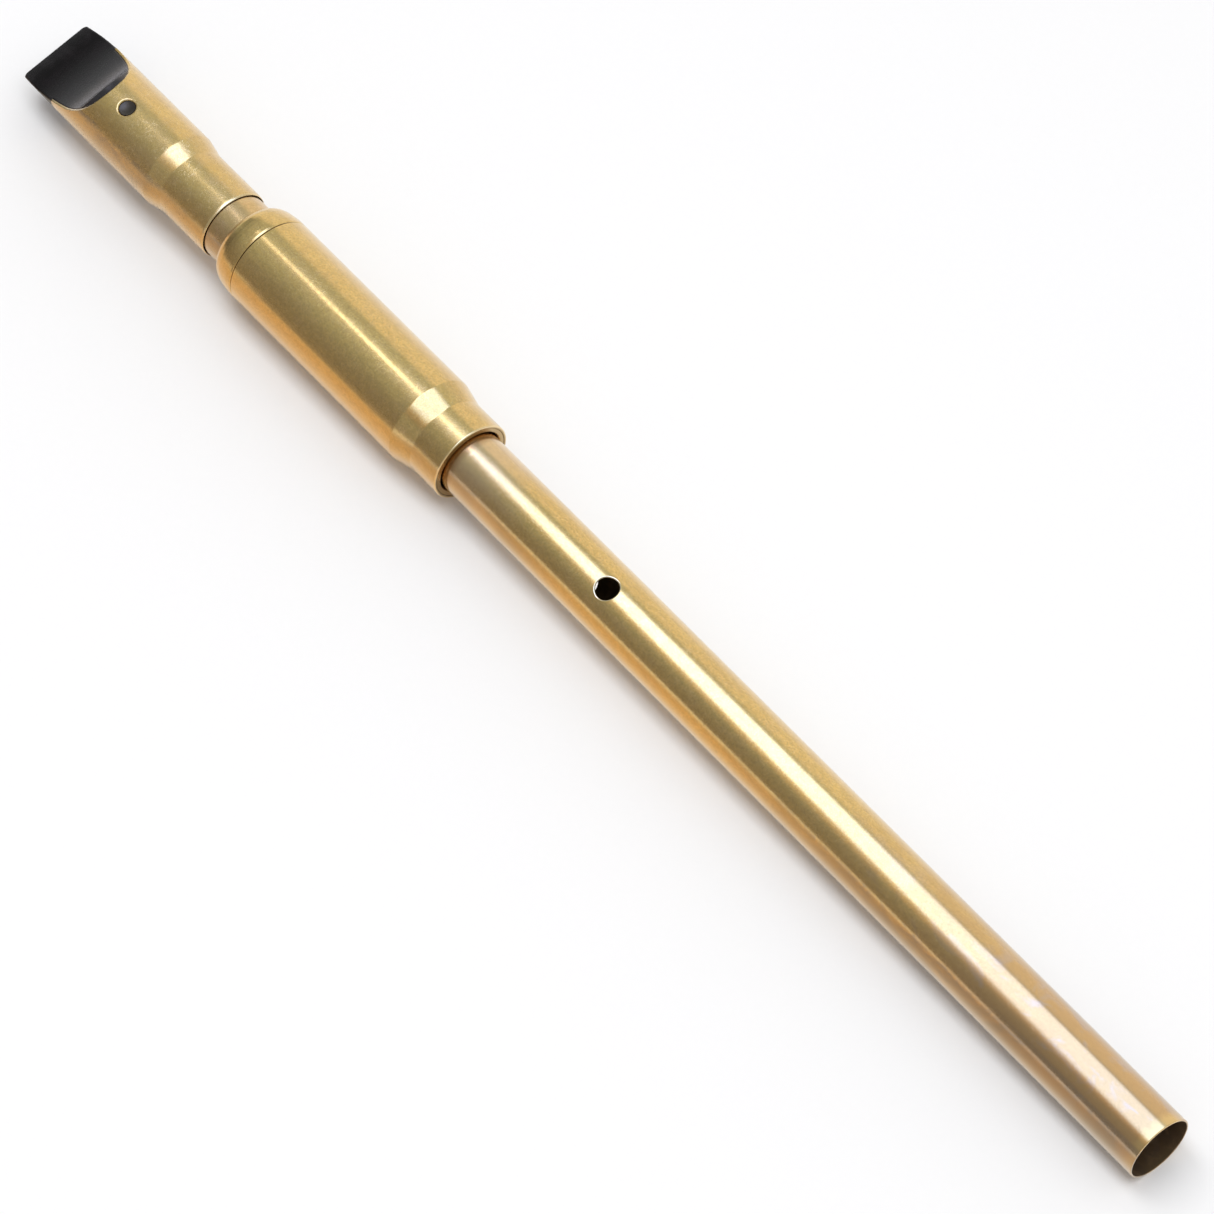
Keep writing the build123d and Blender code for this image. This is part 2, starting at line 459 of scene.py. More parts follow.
# ------------------------------------------------------------------ brass
def scratch_mask(net, place, seed):
    """Hairlines in five directions, gathered in patches."""
    mask = None
    # rotation (radians) and noise scale of each direction
    for k, (turn, scale) in enumerate([((0, 0.35, 0.6), 2600), ((0, -0.5, -0.35), 3300),
                                       ((0, 1.1, 0.2), 2900), ((0, 0.1, -1.2), 3600),
                                       ((0.5, 0.2, 1.0), 3100)]):
        turned = net.mapped(place, turn=turn, shift=(seed + k * 3.1, k * 1.7, 0))
        noise = net.noise(turned, scale, detail=1.5, rough=0.4, stretch=(0.03, 1, 1))
        lines = net.fade(noise, start=0.66, end=0.72)
        mask = net.math("MAXIMUM", mask, lines) if mask else lines
    return net.times(mask, net.fade(net.noise(place, 260), start=0.40, end=0.60))


def across_axis(net, coords, radius, direction):
    """Share of the radial direction that points along a direction, -1 to 1."""
    return net.math("DIVIDE", net.dot(coords, direction), net.math("MAXIMUM", radius, 0.0001))


def band(net, value, low, high, edge):
    """1 between two values in mm, fading over edge to each side of both."""
    return net.times(net.fade(value, start=(low - edge) * TO_M, end=(low + edge) * TO_M),
                     net.fade(value, start=(high + edge) * TO_M, end=(high - edge) * TO_M))


def painted_low_shade(net, x, up, near, cloud_mask, blot, stops):
    """Mask of painted shade low on the near side, made patchy like tarnish, and its strength
    along the tube.
    """
    x_lo, x_hi = stops[0][0], stops[-1][0]
    place = net.math("DIVIDE", net.minus(x, x_lo * TO_M), (x_hi - x_lo) * TO_M)
    amount = net.ramp(place, [((at - x_lo) / (x_hi - x_lo), level) for at, level in stops])
    mask = net.times(net.fade(net.wobble(up, blot, amount=0.5), start=0.56, end=0.42),
                     net.fade(near, start=0.2, end=0.5))
    mask = net.times(mask, net.plus(0.58, net.times(cloud_mask, 0.62)))
    return mask, amount


def foot_patina(net, colour, x, place, cloud, blot):
    """Browner brass towards the foot; also returns that mask. Distances here in metres."""
    foot = net.fade(net.wobble(x, cloud, amount=0.05), start=-0.085, end=-0.02)
    colour = net.layer(colour, foot, amount=0.8, colour=(0.63, 0.40, 0.205))
    blue = net.noise(place, 190, detail=3, rough=0.6, warp=1.0, stretch=(0.6, 1, 1))
    blue = net.times(foot, net.fade(blue, start=0.52, end=0.66))
    colour = net.layer(colour, blue, amount=0.48, colour=(0.57, 0.47, 0.42))
    rim = net.fade(net.wobble(x, blot, amount=0.003), start=-0.0026, end=-0.0008)
    colour = net.layer(colour, rim, amount=0.8, colour=(0.82, 0.57, 0.25))
    # the other end: a paler stretch of wear, and a dark band beside the barrel's end that is
    # painted reflection and shade of the barrel's end face
    wear_and_sheen = net.fade(net.wobble(x, cloud, amount=0.02), start=-0.158, end=-0.172)
    colour = net.layer(colour, wear_and_sheen, amount=0.6, colour=(0.72, 0.53, 0.34))
    dark = net.times(net.fade(x, start=-0.1765, end=-0.1784),
                     net.fade(x, start=-0.1850, end=-0.1828))
    return net.layer(colour, dark, amount=0.75, colour=(0.40, 0.22, 0.10)), foot


def foot_painted_shade(net, colour, x, foot, up, near):
    """Painted shade towards the foot: darker tones on the far side and low on the near side."""
    far = net.times(net.fade(near, start=-0.50, end=-0.80), foot)
    colour = net.layer(colour, far, amount=0.58, colour=(0.40, 0.29, 0.19))
    low = net.times(net.fade(up, start=0.72, end=0.62),
                    net.times(net.fade(near, start=0.2, end=0.5),
                              net.fade(x, start=-0.055, end=-0.012)))
    return net.layer(colour, low, amount=0.50, colour=(0.37, 0.32, 0.26))


def brass(name, base=(0.80, 0.545, 0.205), dull=(0.70, 0.465, 0.18), pink=(0.72, 0.49, 0.27),
          rough=0.17, tarnish=0.5, scratch=0.5, foot=False, seed=0.0, recess_shade=(), ends=False,
          haze=0.0, bore_r=0.0, low_side_shade=(), rim_highlight=(), rims=()):
    """Hand-rubbed, lightly aged brass: cloudy tarnish, sandy grain, stray hairline scratches.

    Dark and light zones, each (x from, x to, radius from, radius to, amount) in mm: painted
    shade in recesses and joints, and painted highlights on rims. Near-side zones, (x in mm,
    amount): painted shade low on the near side, patchy like tarnish. rims: holes whose edges
    are painted lighter, as rubbed wear and a painted highlight. ends: faces square to X painted
    darker as painted shade,
    with turned marks. bore_r: radius of a bore painted dark brown, as tarnish and painted
    shade.
    """
    material, net, shader = shader_material(name)
    coords = net.coords()
    place = net.mapped(coords, shift=(seed, seed * 0.37, seed * 0.71))
    x, y, z = net.xyz(coords)
    radius = net.math("SQRT", net.plus(net.times(y, y), net.times(z, z)))
    near = across_axis(net, coords, radius, NEAR)
    if low_side_shade or foot:
        up = across_axis(net, coords, radius, ROOM_UP)

    cloud = net.noise(place, 150, detail=4, rough=0.6, warp=0.6, stretch=(0.45, 1, 1))
    blot = net.noise(place, 480, detail=5, rough=0.65, warp=0.4, stretch=(0.7, 1, 1))
    mottle = net.noise(place, 1150, detail=3, rough=0.6, warp=0.3, stretch=(0.6, 1, 1))
    grain = net.noise(place, 2600, rough=0.7)
    fine_grain = net.noise(place, 5200, rough=0.6)
    streaks = net.noise(place, 4200, detail=3, rough=0.6, stretch=(0.03, 1, 1))
    scratches = scratch_mask(net, place, seed)
    cloud_mask = net.fade(cloud, start=0.36, end=0.66)
    blot_mask = net.fade(blot, start=0.45, end=0.72)

    # mask, amount, colour of the layers every brass has
    colour = base
    for mask, amount, tone in (
            (cloud_mask, tarnish, dull),
            (blot_mask, 0.6 * tarnish, pink),
            (net.fade(grain, start=0.44, end=0.68), 0.53, (0.50, 0.34, 0.14)),
            (net.fade(fine_grain, start=0.48, end=0.70), 0.52, (0.97, 0.75, 0.38)),
            (scratches, 0.35 * scratch, (0.93, 0.72, 0.40)),
            (net.fade(mottle, start=0.36, end=0.64), 0.28, (0.52, 0.36, 0.14))):
        colour = net.layer(colour, mask, amount, tone)
    if haze:
        mist = net.noise(place, 90, detail=3, rough=0.6, warp=0.8)
        mist = net.fade(mist, start=0.42, end=0.60)
        colour = net.layer(colour, mist, haze, colour=(0.74, 0.56, 0.40))
    if foot:
        colour, foot_mask = foot_patina(net, colour, x, place, cloud, blot)
    # painted shade: faces square to X painted darker, with turned marks
    if ends:
        normal = net.node("NewGeometry").outputs["Normal"]
        face = net.fade(net.math("ABSOLUTE", net.dot(normal, (1, 0, 0))), start=0.93, end=0.995)
        rings = net.node("CombineXYZ")
        for k, value in enumerate((net.times(radius, 1.0), 0.0, 0.0)):
            net.put(rings.inputs[k], value)
        turned = net.noise(rings.outputs[0], 9000, rough=0.6)
        dark = net.mix(turned, (0.38, 0.265, 0.13), (0.56, 0.40, 0.20))
        colour = net.layer(colour, face, amount=0.9, colour=dark)
    # painted shade low on the near side, patchy like tarnish
    if low_side_shade:
        low, amount = painted_low_shade(net, x, up, near, cloud_mask, blot, low_side_shade)
        colour = net.layer(colour, low, amount, colour=(0.355, 0.30, 0.232))
    # painted shade on the far side and low on the near side, towards the foot
    if foot:
        colour = foot_painted_shade(net, colour, x, foot_mask, up, near)

    # painted sheen: the limbs of the tube are painted paler where seen at a shallow angle, more
    # on the near side
    geometry = net.node("NewGeometry").outputs
    facing = net.dot(geometry["Normal"], geometry["Incoming"])
    near_sheen_gain = net.times(net.fade(near, start=0.3, end=0.8), 0.40)
    limb_sheen = net.times(net.fade(facing, start=0.66, end=0.12), net.plus(0.22, near_sheen_gain))
    if bore_r:
        bore = net.fade(radius, start=bore_r * TO_M + 0.00012, end=bore_r * TO_M + 0.00004)
        limb_sheen = net.times(limb_sheen, net.minus(1.0, bore))
    if ends:
        limb_sheen = net.times(limb_sheen, net.minus(1.0, face))
    colour = net.mix(limb_sheen, colour, (0.90, 0.80, 0.68))

    # painted shade in recesses and joints, and painted highlights on rims
    for zones, x_edge, tone in ((recess_shade, 0.04, (0.035, 0.025, 0.015)),
                                (rim_highlight, 0.06, (1.0, 0.82, 0.52))):
        for x_from, x_to, r_from, r_to, amount in zones:
            zone = net.times(band(net, x, x_from, x_to, x_edge),
                             band(net, radius, r_from, r_to, edge=0.03))
            colour = net.layer(colour, zone, amount, tone)
    # hole edges painted lighter: rubbed wear and a painted highlight
    for hole_x, diameter, top in rims:
        offset = net.minus(x, hole_x * TO_M)
        reach = net.math("SQRT", net.plus(net.times(offset, offset), net.times(y, y)))
        rubbed_and_highlit = net.fade(reach, start=(diameter / 2 + 0.26) * TO_M,
                          end=(diameter / 2 + 0.15) * TO_M)
        rubbed_and_highlit = net.times(rubbed_and_highlit, net.fade(z, start=0.0, end=0.002 if top else -0.002))
        colour = net.layer(colour, rubbed_and_highlit, amount=0.80, colour=(1.0, 0.86, 0.62))
    # the bore painted dark brown: tarnish and painted shade
    if bore_r:
        brown = net.mix(blot_mask, (0.11, 0.068, 0.038), (0.20, 0.125, 0.07))
        colour = net.layer(colour, bore, amount=0.90, colour=brown)
    net.put(shader.inputs["Base Color"], colour)

    metallic = net.minus(1.0, net.times(bore, 0.30)) if bore_r else 1.0
    net.put(shader.inputs["Metallic"], metallic)

    gloss = net.plus(net.times(cloud_mask, 0.05 * tarnish), rough)
    gloss = net.wobble(gloss, grain, amount=0.10)
    gloss = net.plus(gloss, net.times(blot_mask, 0.05 * tarnish))
    gloss = net.plus(gloss, net.times(scratches, 0.14 * scratch), clamp=True)
    if bore_r:
        gloss = net.plus(gloss, net.times(bore, 0.35))
    net.put(shader.inputs["Roughness"], gloss)

    # relief: share of each pattern in the bump
    height = net.plus(net.times(streaks, 0.25), net.times(grain, 0.8))
    height = net.minus(height, net.times(scratches, 1.3 * scratch))
    height = net.plus(height, net.times(blot, 0.8))
    net.bump(shader, height, strength=0.35, distance=0.000012)
    return material


# ------------------------------------------------------------------ plastics
# Specular level of the mouthpiece, varied along the scoop as a painted sheen, from x = -0.272
# (0) towards -X, per 0.1 m
SCOOP_SHEEN_LEVEL = [
    (0.0, 0.24), (0.105, 0.32), (0.118, 0.50), (0.132, 0.72), (0.146, 0.60), (0.164, 0.45),
    (0.184, 0.39), (0.205, 0.225), (0.226, 0.110), (0.246, 0.045), (0.262, 0.026),
    (0.280, 0.035), (0.300, 0.10), (0.315, 0.2),
]


def acetal(name, base, rough, tint, wear_and_sheen):
    """Black acetal with a fine cross-grain; on the mouthpiece its specular level is varied
    along the scoop as a painted sheen.
    """
    material, net, shader = shader_material(name)
    coords = net.coords()
    grain = net.noise(coords, 4200, detail=3, rough=0.6)
    cloud = net.noise(coords, 300, detail=3, rough=0.55)
    cross_grain = net.noise(coords, 4200, stretch=(1, 0.03, 0.5))
    pale = (base[0] * 1.6, base[1] * 1.5, base[2] * 1.6)
    colour = net.mix(net.fade(cloud, start=0.35, end=0.7), base, pale)
    net.put(shader.inputs["Base Color"], colour)
    gloss = net.wobble(rough, cloud, amount=0.14)
    net.put(shader.inputs["Roughness"], net.wobble(gloss, grain, amount=0.22))
    shader.inputs["IOR"].default_value = 1.8
    shader.inputs["Specular Tint"].default_value = rgba(tint)
    level = 0.36
    # painted sheen: the specular level varies along the scoop
    if wear_and_sheen:
        along = net.plus(net.times(net.xyz(coords)[0], -10.0), -2.72)
        sheen_level = net.ramp(net.wobble(along, cloud, amount=0.03), SCOOP_SHEEN_LEVEL)
        level = net.times(sheen_level, net.plus(0.85, net.times(grain, 0.3)))
    net.put(shader.inputs["Specular IOR Level"], level)
    height = net.plus(net.times(grain, 0.6), net.times(cross_grain, 0.9))
    net.bump(shader, height, strength=0.4, distance=0.00002)
    return material


def rubber(name):
    material, net, shader = shader_material(name)
    grain = net.noise(net.coords(), 3000, detail=3, rough=0.6)
    net.put(shader.inputs["Base Color"], net.mix(grain, (0.010, 0.010, 0.010),
                                                 (0.024, 0.023, 0.022)))
    net.put(shader.inputs["Roughness"], net.plus(0.55, net.times(grain, 0.2)))
    return material


# Per part: painted shade in recesses, joints and low on the near side, and painted highlights
# on rims
BODY_BRASS = brass(
    "brass_body", foot=True, scratch=0.35, bore_r=BODY_BORE, rims=HOLES,
    low_side_shade=[(-180, 0.5), (-160, 0.42), (-148, 0.05), (-105, 0.05), (-80, 0.5), (-45, 0.95),
           (-5, 1.0), (0, 0.3)])
BARREL_BRASS = brass(
    "brass_barrel", seed=1.3, tarnish=0.55, scratch=0.30, ends=True,
    recess_shade=[(JOINT - 0.2, JOINT + 0.10, 8.0, 9.02, 0.93)],
    low_side_shade=[(-237, 0.05), (-192, 0.0), (-187, 0.25), (-179, 0.3)],
    rim_highlight=[(BARREL_END - 0.26, BARREL_END + 0.05, 7.86, 8.12, 0.55)])
HEAD_BRASS = brass(
    "brass_head", seed=2.7, tarnish=0.6, scratch=0.9, rough=0.23, haze=0.10,
    recess_shade=[(HEAD_END - 0.9, HEAD_END + 0.1, 6.0, 6.96, 0.93)],
    low_side_shade=[(-293, 0.72), (-268, 0.78), (-262, 0.45), (-247, 0.22)],
    rim_highlight=[(HEAD_END - 0.42, HEAD_END + 0.05, 6.97, 7.2, 0.30)])
SLIDE_BRASS = brass(
    "brass_slide", base=(0.76, 0.51, 0.235), dull=(0.67, 0.44, 0.22), pink=(0.71, 0.49, 0.32),
    seed=4.1, tarnish=0.6, scratch=0.25, rough=0.22, haze=0.12,
    low_side_shade=[(-259, 0.6), (-240, 0.6)])
RING_BRASS = brass(
    "brass_ring", seed=5.9, tarnish=0.35, scratch=0.2,
    recess_shade=[(JOINT - 0.17, JOINT + 0.2, 8.0, 9.01, 0.93)],
    rim_highlight=[(-242.92, -242.52, 7.45, 8.05, 0.8)])
BUSH_BRASS = brass(
    "brass_bush", base=(0.74, 0.52, 0.22), seed=7.7, tarnish=0.3, scratch=0.2, rough=0.24,
    ends=True,
    recess_shade=[(-185.8, BARREL_END - 0.42, 6.5, 7.6, 0.35),
           (BARREL_END - 0.4, BARREL_END + 0.2, 7.525, 7.70, 0.85)])
BLADE_BRASS = brass("brass_blade", seed=8.8, tarnish=0.15, scratch=0.3, rough=0.20)
BLACK = acetal("black_acetal", base=(0.0060, 0.0052, 0.0056), rough=0.27,
               tint=(1.0, 0.91, 0.955), wear_and_sheen=True)
PIN_BLACK = acetal("black_acetal_pin", base=(0.013, 0.0125, 0.0125), rough=0.36,
                   tint=(1.0, 0.83, 0.64), wear_and_sheen=False)
SEAL = rubber("seal_rubber")


# ------------------------------------------------------------------ turned pieces
# Profiles list x, radius, fillet.
lathe("barrel_shell",
      [(JOINT + 0.01, BARREL_BORE, 0.05), (JOINT + 0.01, BARREL_R, 0.12),
       (BARREL_CONE_LARGE, BARREL_R, 1.1), (BARREL_CONE_SMALL, BARREL_SKIRT_R, 1.1),
       (BARREL_END, BARREL_SKIRT_R, 0.30), (BARREL_END, BARREL_SKIRT_BORE, 0.05),
       (BARREL_CONE_SMALL - 0.2, BARREL_SKIRT_BORE, 0.5),
       (BARREL_CONE_LARGE - 0.2, BARREL_BORE, 0.5)],
      "barrel", BARREL_BRASS)
lathe("barrel_cap_ring",
      [(CAP_LIP, 6.79, 0.04), (CAP_LIP, 7.66, 0.16), (-242.52, 8.02, 0.5), (-241.76, 8.48, 2.5),
       (-240.7, 8.80, 3.5), (-239.66, 8.97, 2.0), (-238.62, 9.085, 0.5),
       (-238.2, BARREL_R, 0.25), (-237.42, BARREL_R, 0.08),
       (JOINT - 0.22, BARREL_R - 0.045, 0.10), (JOINT - 0.12, BARREL_R - 0.20, 0.04),
       (JOINT - 0.12, BARREL_BORE - 0.02, 0.05), (JOINT + 5.0, BARREL_BORE - 0.02, 0.1),
       (JOINT + 5.0, 6.79, 0.1)],
      "barrel", RING_BRASS)
lathe("barrel_end_bush",
      [(BARREL_END - 0.05, BARREL_SKIRT_BORE - 0.06, 0.05), (BARREL_END - 0.05, 6.84, 0.05),
       (BARREL_END - 0.20, 6.70, 0.05), (BARREL_END - 0.32, 6.62, 0.05),
       (GROOVE_END, 6.62, 0.05), (GROOVE_END, 7.34, 0.05),
       (GROOVE_START, 7.34, 0.05), (GROOVE_START, 6.62, 0.05),
       (-183.4, 6.62, 0.05), (-183.4, 6.79, 0.05), (-185.6, 6.79, 0.05),
       (-185.6, BARREL_SKIRT_BORE - 0.01, 0.1)],
      "barrel", BUSH_BRASS)
lathe("slide_tube",
      [(SLIDE_START, SLIDE_BORE, 0.10), (SLIDE_START, SLIDE_R, 0.14),
       (SLIDE_END, SLIDE_R, 0.14), (SLIDE_END, SLIDE_BORE, 0.10)],
      "slide", SLIDE_BRASS)
lathe("body_seal_ring",
      [((GROOVE_START + GROOVE_END) / 2 + SEAL_R * math.cos(angle),
        SEAL_CENTRE_R + SEAL_R * math.sin(angle), 0.1)
       for angle in np.linspace(0, 2 * np.pi, 25)[:-1]],
      "barrel", SEAL)


# ------------------------------------------------------------------ body tube
def build_body():
    """The long tube with its finger holes and thumb hole."""
    margin, spacing, end_gap = 1.05, 0.42, 0.3
    spans = []
    for x, diameter, _ in HOLES:
        half = diameter / 2 + margin
        steps = round(2 * half / spacing)
        spans.append([round(x - half + 2 * half * i / steps, 4) for i in range(steps + 1)])
    stations = [BODY_START + end_gap, *sorted(sum(spans, [])), -end_gap]
    ends = rounded([(BODY_START, BODY_BORE, 0.1), (BODY_START, BODY_R, 0.14),
                    (0.0, BODY_R, 0.15), (0.0, BODY_BORE, 0.12)], arc_steps=8)
    shell = Shell()
    outer = {x: shell.row(*ring_row(x, BODY_R, 0, 1)) for x in stations}
    for point in ends[ends[:, 0] > -0.2]:
        shell.row(*ring_row(*point))
    inner = {x: shell.row(*ring_row(x, BODY_BORE, 0, -1)) for x in reversed(stations)}
    for point in ends[ends[:, 0] < BODY_START + 0.2]:
        shell.row(*ring_row(*point))
    for (x, diameter, top), span in zip(HOLES, spans):
        reach = round_reach(diameter)
        cut_opening(
            shell,
            Face([outer[at] for at in span], reach, lambda at: np.full_like(at, BODY_R),
                 fillet=0.25 if top else 0.16),
            Face([inner[at] for at in span], reach, lambda at: np.full_like(at, BODY_BORE),
                 fillet=0.07),
            x, top, half_angle=math.asin((diameter / 2 + 0.9) / BODY_R))
    shell.finish("body_tube", "body", BODY_BRASS)


build_body()


# ------------------------------------------------------------------ head casing
def radius_lookup(profile):
    return lambda x: np.interp(x, profile[:, 0], profile[:, 1])


# Both profiles start past the casing's scooped end.
HEAD_PROFILE = rounded([(-300, HEAD_R, 0), (CONE_LARGE, HEAD_R, 1.0),
                        (CONE_SMALL, SKIRT_R, 1.4), (HEAD_END, SKIRT_R, 0)], closed=False)
BORE_PROFILE = rounded([(-300, HEAD_BORE, 0), (CONE_LARGE - 0.1, HEAD_BORE, 0.8),
                        (CONE_SMALL - 0.1, SKIRT_BORE, 0.8), (HEAD_END, SKIRT_BORE, 0)],
                       closed=False)
head_radius = radius_lookup(HEAD_PROFILE)
bore_radius = radius_lookup(BORE_PROFILE)


def head_row(x, radius_at, facing):
    """A row on a head profile; facing is 1 on the outside and -1 in the bore."""
    slope = (radius_at(x + 0.05) - radius_at(x - 0.05)) / 0.1
    return ring_row(x, radius_at(x), -slope * facing, facing)


def smooth_cut():
    """The casing's cut, smoothed, as dense z and x arrays."""
    cut_x, cut_z = np.array(CASING_CUT).T
    dense_z = np.linspace(cut_z[0], cut_z[-1], 400)
    kernel = np.hanning(41)
    kernel /= kernel.sum()
    padded = np.pad(np.interp(dense_z, cut_z, cut_x), 20, mode="reflect", reflect_type="odd")
    return dense_z, np.convolve(padded, kernel, "valid")


CUT_Z, CUT_X = smooth_cut()


def casing_start(z):
    """x of the casing's end at height z: scooped above z = 1, square below."""
    return np.where(z > 1.0, np.maximum(np.interp(z, CUT_Z, CUT_X), CASING_START), CASING_START)


def rim_rows(shell):
    """The rolled rim at the skirt's end, from the outside into the bore."""
    length, drop = 0.80, 0.20
    lip = SKIRT_R - drop
    for k in range(9):
        angle = math.pi / 2 * k / 8
        sin, cos = math.sin(angle), math.cos(angle)
        shell.row(*ring_row(HEAD_END - length + length * sin, lip + drop * cos,
                            sin * drop, cos * length))
    for k in range(1, 4):
        angle = math.pi / 2 * k / 3
        sin, cos = math.sin(angle), math.cos(angle)
        shell.row(*ring_row(HEAD_END - 0.06 + 0.06 * cos, lip - 0.04 * sin, cos, -sin))
    shell.row(*ring_row(HEAD_END - 0.12, SKIRT_R - 0.25, 0.45, -0.89))
    shell.row(*ring_row(HEAD_END - 0.42, SKIRT_BORE + 0.01, 0.3, -0.95))
    shell.row(*ring_row(HEAD_END - 0.50, SKIRT_BORE, 0, -1))


def cut_rows(shell, start_out, start_in):
    """Rounded edge along the cut, which runs straight across Y: its normal lies in XZ."""
    delta = 0.02
    z = HEAD_R * COS
    slope = (casing_start(z + delta) - casing_start(z - delta)) / (2 * delta)
    cut_normal = np.stack([-np.ones(SIDES), np.zeros(SIDES), slope], 1)
    cut_normal /= np.linalg.norm(cut_normal, axis=1, keepdims=True)
    # radius, start, facing, share of the ease taken off the radius, steps
    for radius, start, facing, share, steps in (
            (HEAD_BORE, start_in, -1, 0.7, range(1, 6)),
            (HEAD_R, start_out, 1, 0.9, range(5, 0, -1))):
        for step in steps:
            angle = math.pi / 2 * step / 6
            inset = CUT_EASE * share * (1 - math.cos(angle))
            points, normals = ring_row(start + CUT_EASE * (1 - math.sin(angle)),
                                       radius - facing * inset, 0, facing * math.cos(angle))
            shell.row(points, normals + cut_normal * math.sin(angle))


def window_reach(radius_at):
    """Reach of the window, found by bisection from its centre."""
    def inside(x, y):
        if x < PLUG_END or abs(y) > WINDOW_WIDTH / 2:
            return False
        if x <= BLADE:
            return True
        wall_z = -math.sqrt(max(float(radius_at(x)) ** 2 - y * y, 1e-9))
        return wall_z < BLADE_Z - RAMP_TAN * (x - BLADE)

    def reach(angle):
        near, far = 0.0, 9.0
        cos, sin = math.cos(angle), math.sin(angle)
        for _ in range(40):
            middle = (near + far) / 2
            if inside(WINDOW_CENTRE + middle * sin, middle * cos):
                near = middle
            else:
                far = middle
        x, y = WINDOW_CENTRE + near * sin, near * cos
        if x < PLUG_END + 0.02:
            return near, (1.0, 0.0, 0.0)
        if abs(y) > WINDOW_WIDTH / 2 - 0.02:
            return near, (0.0, -math.copysign(1.0, y), 0.0)
        length = math.hypot(RAMP_TAN, 1.0)
        return near, (-RAMP_TAN / length, 0.0, -1.0 / length)

    return reach


def build_head():
    """The head casing: scooped end, pin hole, window with its ramp, cone and skirt."""
    pin_from, pin_to = -279.3, -274.4
    window_from, window_to = -275.3, -262.6
    stations = sorted(set(np.round(np.concatenate([
        np.linspace(pin_from, pin_to, 15), np.linspace(pin_to, window_to, 32)]), 4)))
    tail_end = HEAD_END - 0.9
    tail = [x for x in HEAD_PROFILE[:, 0] if x > stations[-1] + 0.05] + [-255.0, tail_end]
    tail = sorted({round(x, 4) for x in tail if x <= tail_end + 1e-6})
    # rows between the cut and the first station, as shares of the way
    lead = [(i / 26) ** 1.5 for i in range(26)]
    start_out, start_in = (casing_start(radius_at(np.full(SIDES, -290.0)) * COS)
                           for radius_at in (head_radius, bore_radius))

    def lead_row(share, start, radius_at, facing):
        x = (start + CUT_EASE) * (1 - share) + stations[0] * share
        shell.row(*head_row(x, radius_at, facing))

    shell = Shell()
    for share in lead:
        lead_row(share, start_out, head_radius, 1)
    outer = {x: shell.row(*head_row(x, head_radius, 1)) for x in stations}
    for x in tail:
        shell.row(*head_row(x, head_radius, 1))
    rim_rows(shell)
    for x in reversed(tail):
        shell.row(*head_row(x, bore_radius, -1))
    inner = {x: shell.row(*head_row(x, bore_radius, -1)) for x in reversed(stations)}
    for share in reversed(lead):
        lead_row(share, start_in, bore_radius, -1)
    cut_rows(shell, start_out, start_in)

    span = [x for x in stations if pin_from - 0.01 <= x <= pin_to + 0.01]
    reach = round_reach(PIN_HOLE_D)
    cut_opening(shell, Face([outer[x] for x in span], reach, head_radius, fillet=0.42),
                Face([inner[x] for x in span], reach, bore_radius, fillet=0.03),
                PIN_X, top=True, half_angle=math.asin(2.4 / HEAD_R))

    span = [x for x in stations if window_from <= x <= window_to + 1e-6]
    cut_opening(shell,
                Face([outer[x] for x in span], window_reach(head_radius), head_radius, 0.05),
                Face([inner[x] for x in span], window_reach(bore_radius), bore_radius, 0.03),
                WINDOW_CENTRE, top=False, half_angle=math.asin(5.5 / HEAD_R),
                corners=[math.atan2(PLUG_END - WINDOW_CENTRE, y)
                         for y in (WINDOW_WIDTH / 2, -WINDOW_WIDTH / 2)])
    shell.finish("head_casing", "head", HEAD_BRASS)


build_head()

# CAD nodes that stay
for node, material in (("mouthpiece_plug", BLACK), ("plug_pin", PIN_BLACK),
                       ("window_blade", BLADE_BRASS)):
    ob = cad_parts[node]
    ob.data.materials.clear()
    ob.data.materials.append(material)


# ------------------------------------------------------------------ stage, metres from here on
def stage_mesh(name, points, faces):
    mesh = bpy.data.meshes.new(name)
    mesh.from_pydata([tuple(point) for point in points], [], faces)
    ob = bpy.data.objects.new(name, mesh)
    bpy.context.scene.collection.objects.link(ob)
    return ob


def stage_quad(name, centre, half_u, half_v):
    points = [centre + half_u * i + half_v * j for i, j in ((-1, -1), (1, -1), (1, 1), (-1, 1))]
    return stage_mesh(name, points, [[0, 1, 2, 3]])


# The floor plane touches the barrel's shoulder and the foot.
shoulder = Vector((-0.1915, 0, 0)) - ROOM_UP * (BARREL_R * TO_M)
foot_rest = Vector((-0.001, 0, 0)) - ROOM_UP * (BODY_R * TO_M)
floor_along = (foot_rest - shoulder).normalized()
floor_side = ROOM_UP.cross(floor_along).normalized()
floor_up = floor_along.cross(floor_side).normalized()
FLOOR_HALF = 3.0
FLOOR_GAP = 0.00004
floor_centre = (shoulder + foot_rest) / 2 - floor_up * FLOOR_GAP

# Line of sight through the first finger hole, and where it meets the floor: the painted glow
# spot
SIGHT = Vector((-0.439, 0.1714, -0.882))
SIGHT_START = Vector((-0.1475, 0.0012, -0.0062))
PAINTED_GLOW_SPOT = SIGHT_START + SIGHT * (
    (floor_centre - SIGHT_START).dot(floor_up) / SIGHT.dot(floor_up))

# Painted bounce light and shade in the floor as the metal mirrors it: 10 x distance to the near
# side, colour
FLOOR_BOUNCE_TINT = [
    (0.0, (0.95, 0.96, 0.98)), (0.06, (0.94, 0.95, 0.95)), (0.11, (0.90, 0.80, 0.66)),
    (0.18, (0.82, 0.64, 0.44)), (0.30, (0.74, 0.54, 0.35)), (0.50, (0.70, 0.54, 0.38)),
]
